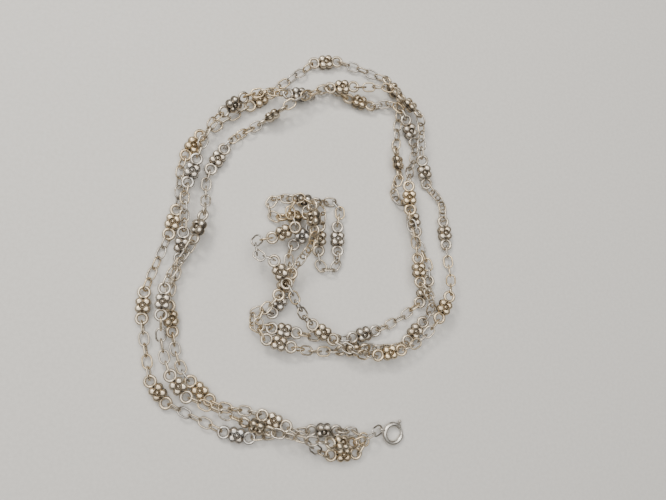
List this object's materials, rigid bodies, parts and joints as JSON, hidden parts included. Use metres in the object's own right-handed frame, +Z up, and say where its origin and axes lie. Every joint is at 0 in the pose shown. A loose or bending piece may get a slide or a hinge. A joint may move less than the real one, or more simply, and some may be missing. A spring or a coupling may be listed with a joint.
{
  "type": "chain necklace",
  "caption": "Long silver guard chain of double-sided flower stations and oval trace links, laid in three strands, with a bolt ring clasp",
  "frame": {"origin": "middle of the chain's footprint, on the surface that it lies on", "axes": "+Z up from the surface, +Y away from the clasp's end, along the longest extent, +X towards the clasp"},
  "size_m": [0.105, 0.1366, 0.0123],
  "materials": {
    "silver": "tarnished sterling silver, dark in the recesses",
    "clasp_silver": "sterling silver, polished by wear",
    "spring_wire": "drawn spring wire"
  },
  "bodies": {
    "root": {"heap_stations_plain_end": "silver", "trace_links_heap_end": "silver", "trace_links_lower_strand": "silver", "trace_links_middle_strand": "silver", "trace_links_heap_turn": "silver", "heap_stations_turn": "silver", "trace_links_upper_strand": "silver"},
    "flower_station_07": {"flower_station_07": "silver"},
    "flower_station_08": {"flower_station_08": "silver"},
    "flower_station_09": {"flower_station_09": "silver"},
    "flower_station_10": {"flower_station_10": "silver"},
    "flower_station_11": {"flower_station_11": "silver"},
    "flower_station_12": {"flower_station_12": "silver"},
    "flower_station_13": {"flower_station_13": "silver"},
    "flower_station_14": {"flower_station_14": "silver"},
    "flower_station_15": {"flower_station_15": "silver"},
    "flower_station_16": {"flower_station_16": "silver"},
    "flower_station_17": {"flower_station_17": "silver"},
    "flower_station_18": {"flower_station_18": "silver"},
    "flower_station_19": {"flower_station_19": "silver"},
    "flower_station_20": {"flower_station_20": "silver"},
    "flower_station_21": {"flower_station_21": "silver"},
    "flower_station_22": {"flower_station_22": "silver"},
    "flower_station_23": {"flower_station_23": "silver"},
    "flower_station_24": {"flower_station_24": "silver"},
    "flower_station_25": {"flower_station_25": "silver"},
    "flower_station_26": {"flower_station_26": "silver"},
    "flower_station_27": {"flower_station_27": "silver"},
    "flower_station_28": {"flower_station_28": "silver"},
    "flower_station_29": {"flower_station_29": "silver"},
    "flower_station_30": {"flower_station_30": "silver"},
    "flower_station_31": {"flower_station_31": "silver"},
    "flower_station_32": {"flower_station_32": "silver"},
    "flower_station_33": {"flower_station_33": "silver"},
    "flower_station_34": {"flower_station_34": "silver"},
    "flower_station_35": {"flower_station_35": "silver"},
    "flower_station_40": {"flower_station_40": "silver"},
    "flower_station_41": {"flower_station_41": "silver"},
    "flower_station_42": {"flower_station_42": "silver"},
    "flower_station_43": {"flower_station_43": "silver"},
    "flower_station_44": {"flower_station_44": "silver"},
    "flower_station_45": {"flower_station_45": "silver"},
    "flower_station_46": {"flower_station_46": "silver"},
    "flower_station_47": {"flower_station_47": "silver"},
    "flower_station_48": {"flower_station_48": "silver"},
    "flower_station_49": {"flower_station_49": "silver"},
    "flower_station_50": {"flower_station_50": "silver"},
    "flower_station_51": {"flower_station_51": "silver"},
    "flower_station_52": {"flower_station_52": "silver"},
    "flower_station_53": {"flower_station_53": "silver"},
    "tail_link_1": {"tail_link_1": "clasp_silver"},
    "tail_link_2": {"tail_link_2": "clasp_silver"},
    "tail_link_3": {"tail_link_3": "clasp_silver"},
    "bolt_ring": {"bolt_ring_tube": "clasp_silver", "bolt_ring_eye": "clasp_silver", "bolt_spring": "spring_wire"},
    "bolt": {"bolt": "clasp_silver", "bolt_knob": "clasp_silver"}
  },
  "joints": [
    {"name": "bolt_slide", "type": "hinge", "parent": "bolt_ring", "child": "bolt", "pos_m": [0.03028, -0.06007, 0.00127], "axis": [0.1532, -0.0558, 0.9866], "range_deg": [0, 45], "stiffness_Nm_per_rad": 0.001, "springref_deg": -17.19, "deforming": ["bolt_spring"]},
    {"name": "bolt_ring_swing", "type": "hinge", "parent": "tail_link_3", "child": "bolt_ring", "pos_m": [0.02584, -0.05842, 0.00237], "axis": [0, 0, 1], "range_deg": [-19, 25]},
    {"name": "tail_link_3_swing", "type": "hinge", "parent": "tail_link_2", "child": "tail_link_3", "pos_m": [0.02287, -0.05945, 0.00394], "axis": [0, 0, 1], "range_deg": [-12, 12]},
    {"name": "tail_link_2_swing", "type": "hinge", "parent": "tail_link_1", "child": "tail_link_2", "pos_m": [0.01985, -0.06102, 0.00431], "axis": [0, 0, 1], "range_deg": [-12, 12]},
    {"name": "tail_link_1_swing", "type": "hinge", "parent": "root", "child": "tail_link_1", "pos_m": [0.01672, -0.06204, 0.00367], "axis": [0, 0, 1], "range_deg": [-10, 5]},
    {"name": "flower_station_07_rock", "type": "hinge", "parent": "root", "child": "flower_station_07", "pos_m": [-0.00612, -0.02692, 0.00174], "axis": [0.9848, -0.1736, 0], "range_deg": [-12, 12]},
    {"name": "flower_station_08_rock", "type": "hinge", "parent": "root", "child": "flower_station_08", "pos_m": [0.02038, -0.02792, 0.00183], "axis": [0.9626, 0.2707, 0], "range_deg": [-8, 8]},
    {"name": "flower_station_09_rock", "type": "hinge", "parent": "root", "child": "flower_station_09", "pos_m": [0.04188, -0.01342, 0.00156], "axis": [0.4191, 0.908, 0], "range_deg": [-8, 8]},
    {"name": "flower_station_10_rock", "type": "hinge", "parent": "root", "child": "flower_station_10", "pos_m": [0.03838, 0.01108, 0.00191], "axis": [-0.1982, 0.9802, 0], "range_deg": [-7, 7]},
    {"name": "flower_station_11_rock", "type": "hinge", "parent": "root", "child": "flower_station_11", "pos_m": [0.03288, 0.03108, 0.00229], "axis": [-0.1384, 0.9904, 0], "range_deg": [-9, 9]},
    {"name": "flower_station_12_rock", "type": "hinge", "parent": "root", "child": "flower_station_12", "pos_m": [0.03188, 0.05758, 0.00206], "axis": [-0.5944, 0.8042, 0], "range_deg": [-2, 2]},
    {"name": "flower_station_13_rock", "type": "hinge", "parent": "root", "child": "flower_station_13", "pos_m": [0.00738, 0.06558, 0.00156], "axis": [-0.9875, -0.1576, 0], "range_deg": [-5, 5]},
    {"name": "flower_station_14_rock", "type": "hinge", "parent": "root", "child": "flower_station_14", "pos_m": [-0.01512, 0.05008, 0.00156], "axis": [-0.8, -0.6, 0], "range_deg": [-12, 12]},
    {"name": "flower_station_15_rock", "type": "hinge", "parent": "root", "child": "flower_station_15", "pos_m": [-0.03662, 0.03258, 0.00183], "axis": [-0.5318, -0.8469, 0], "range_deg": [-12, 12]},
    {"name": "flower_station_16_rock", "type": "hinge", "parent": "root", "child": "flower_station_16", "pos_m": [-0.04212, 0.00708, 0.00156], "axis": [-0.2513, -0.9679, 0], "range_deg": [-6, 6]},
    {"name": "flower_station_17_rock", "type": "hinge", "parent": "root", "child": "flower_station_17", "pos_m": [-0.05012, -0.01942, 0.00156], "axis": [-0.0473, -0.9989, 0], "range_deg": [-12, 12]},
    {"name": "flower_station_18_rock", "type": "hinge", "parent": "root", "child": "flower_station_18", "pos_m": [-0.04462, -0.04572, 0.00174], "axis": [0.5964, -0.8027, 0], "range_deg": [-5, 5]},
    {"name": "flower_station_19_rock", "type": "hinge", "parent": "root", "child": "flower_station_19", "pos_m": [-0.02062, -0.05912, 0.00156], "axis": [0.9709, -0.2394, 0], "range_deg": [-12, 12]},
    {"name": "flower_station_20_rock", "type": "hinge", "parent": "root", "child": "flower_station_20", "pos_m": [0.00688, -0.05842, 0.00191], "axis": [0.9994, -0.0349, 0], "range_deg": [-8, 8]},
    {"name": "flower_station_21_rock", "type": "hinge", "parent": "root", "child": "flower_station_21", "pos_m": [0.01338, -0.06592, 0.00156], "axis": [-0.9994, -0.0349, 0], "range_deg": [-12, 12]},
    {"name": "flower_station_22_rock", "type": "hinge", "parent": "root", "child": "flower_station_22", "pos_m": [-0.00912, -0.05492, 0.00259], "axis": [-0.8844, 0.3985, -0.243], "range_deg": [-6, 6]},
    {"name": "flower_station_23_rock", "type": "hinge", "parent": "root", "child": "flower_station_23", "pos_m": [-0.03212, -0.04542, 0.00156], "axis": [-0.7181, 0.696, 0], "range_deg": [-12, 12]},
    {"name": "flower_station_24_rock", "type": "hinge", "parent": "root", "child": "flower_station_24", "pos_m": [-0.04162, -0.02342, 0.00191], "axis": [-0.1537, 0.9881, 0], "range_deg": [-12, 12]},
    {"name": "flower_station_25_rock", "type": "hinge", "parent": "root", "child": "flower_station_25", "pos_m": [-0.03912, -0.00042, 0.00234], "axis": [0.1034, 0.9722, 0.21], "range_deg": [-6, 6]},
    {"name": "flower_station_26_rock", "type": "hinge", "parent": "root", "child": "flower_station_26", "pos_m": [-0.03662, 0.02358, 0.00387], "axis": [0.3063, 0.9514, 0.0316], "range_deg": [-10, 10]},
    {"name": "flower_station_27_rock", "type": "hinge", "parent": "root", "child": "flower_station_27", "pos_m": [-0.02402, 0.04648, 0.00449], "axis": [0.7655, 0.6434, 0], "range_deg": [-12, 12]},
    {"name": "flower_station_28_rock", "type": "hinge", "parent": "root", "child": "flower_station_28", "pos_m": [-0.00212, 0.05258, 0.0027], "axis": [0.9582, 0.1236, -0.258], "range_deg": [-12, 12]},
    {"name": "flower_station_29_rock", "type": "hinge", "parent": "root", "child": "flower_station_29", "pos_m": [0.01938, 0.05208, 0.00183], "axis": [0.9694, -0.2454, 0], "range_deg": [-12, 12]},
    {"name": "flower_station_30_rock", "type": "hinge", "parent": "root", "child": "flower_station_30", "pos_m": [0.03738, 0.04258, 0.00283], "axis": [0.4264, -0.8787, -0.2147], "range_deg": [-10, 10]},
    {"name": "flower_station_31_rock", "type": "hinge", "parent": "root", "child": "flower_station_31", "pos_m": [0.03588, 0.01808, 0.00527], "axis": [0.0408, -0.9992, 0], "range_deg": [-5, 5]},
    {"name": "flower_station_32_rock", "type": "hinge", "parent": "root", "child": "flower_station_32", "pos_m": [0.03938, -0.00642, 0.00366], "axis": [0.0552, -0.9942, 0.0923], "range_deg": [-12, 12]},
    {"name": "flower_station_33_rock", "type": "hinge", "parent": "root", "child": "flower_station_33", "pos_m": [0.03838, -0.02692, 0.00162], "axis": [-0.6544, -0.7539, -0.0581], "range_deg": [-12, 12]},
    {"name": "flower_station_34_rock", "type": "hinge", "parent": "root", "child": "flower_station_34", "pos_m": [0.01638, -0.03292, 0.00246], "axis": [-0.9963, -0.0857, 0], "range_deg": [-9, 9]},
    {"name": "flower_station_35_rock", "type": "hinge", "parent": "root", "child": "flower_station_35", "pos_m": [-0.00812, -0.03092, 0.00412], "axis": [-0.9561, 0.293, 0], "range_deg": [-10, 10]},
    {"name": "flower_station_40_rock", "type": "hinge", "parent": "root", "child": "flower_station_40", "pos_m": [0.00588, -0.02742, 0.00504], "axis": [0.8262, -0.562, -0.0387], "range_deg": [-11, 11]},
    {"name": "flower_station_41_rock", "type": "hinge", "parent": "root", "child": "flower_station_41", "pos_m": [0.02838, -0.03392, 0.00451], "axis": [0.9797, 0.2007, 0], "range_deg": [-12, 12]},
    {"name": "flower_station_42_rock", "type": "hinge", "parent": "root", "child": "flower_station_42", "pos_m": [0.04738, -0.01892, 0.00565], "axis": [0.4644, 0.8856, 0], "range_deg": [-6, 6]},
    {"name": "flower_station_43_rock", "type": "hinge", "parent": "root", "child": "flower_station_43", "pos_m": [0.04988, 0.00708, 0.00156], "axis": [-0.1058, 0.9944, 0], "range_deg": [-12, 12]},
    {"name": "flower_station_44_rock", "type": "hinge", "parent": "root", "child": "flower_station_44", "pos_m": [0.04238, 0.02808, 0.00293], "axis": [-0.2747, 0.9199, 0.2797], "range_deg": [-8, 8]},
    {"name": "flower_station_45_rock", "type": "hinge", "parent": "root", "child": "flower_station_45", "pos_m": [0.03668, 0.05128, 0.00501], "axis": [-0.7371, 0.6757, 0.0137], "range_deg": [-4, 4]},
    {"name": "flower_station_46_rock", "type": "hinge", "parent": "root", "child": "flower_station_46", "pos_m": [0.01238, 0.05558, 0.00503], "axis": [-0.9888, -0.1489, 0], "range_deg": [-4, 4]},
    {"name": "flower_station_47_rock", "type": "hinge", "parent": "root", "child": "flower_station_47", "pos_m": [-0.01112, 0.04408, 0.00356], "axis": [-0.7861, -0.5177, -0.3377], "range_deg": [-12, 12]},
    {"name": "flower_station_48_rock", "type": "hinge", "parent": "root", "child": "flower_station_48", "pos_m": [-0.02862, 0.02858, 0.00156], "axis": [-0.508, -0.8614, 0], "range_deg": [-12, 12]},
    {"name": "flower_station_49_rock", "type": "hinge", "parent": "root", "child": "flower_station_49", "pos_m": [-0.03412, 0.00508, 0.00508], "axis": [-0.3126, -0.9478, 0.0633], "range_deg": [-7, 7]},
    {"name": "flower_station_50_rock", "type": "hinge", "parent": "root", "child": "flower_station_50", "pos_m": [-0.04412, -0.01842, 0.00534], "axis": [-0.0914, -0.9958, 0], "range_deg": [-11, 11]},
    {"name": "flower_station_51_rock", "type": "hinge", "parent": "root", "child": "flower_station_51", "pos_m": [-0.03862, -0.04392, 0.00367], "axis": [0.6132, -0.7899, 0], "range_deg": [-3, 3]},
    {"name": "flower_station_52_rock", "type": "hinge", "parent": "root", "child": "flower_station_52", "pos_m": [-0.01462, -0.05642, 0.004], "axis": [0.918, -0.3272, 0.2239], "range_deg": [-7, 7]},
    {"name": "flower_station_53_rock", "type": "hinge", "parent": "root", "child": "flower_station_53", "pos_m": [0.01188, -0.06192, 0.00543], "axis": [0.9461, -0.0662, -0.317], "range_deg": [-4, 4]}
  ]
}
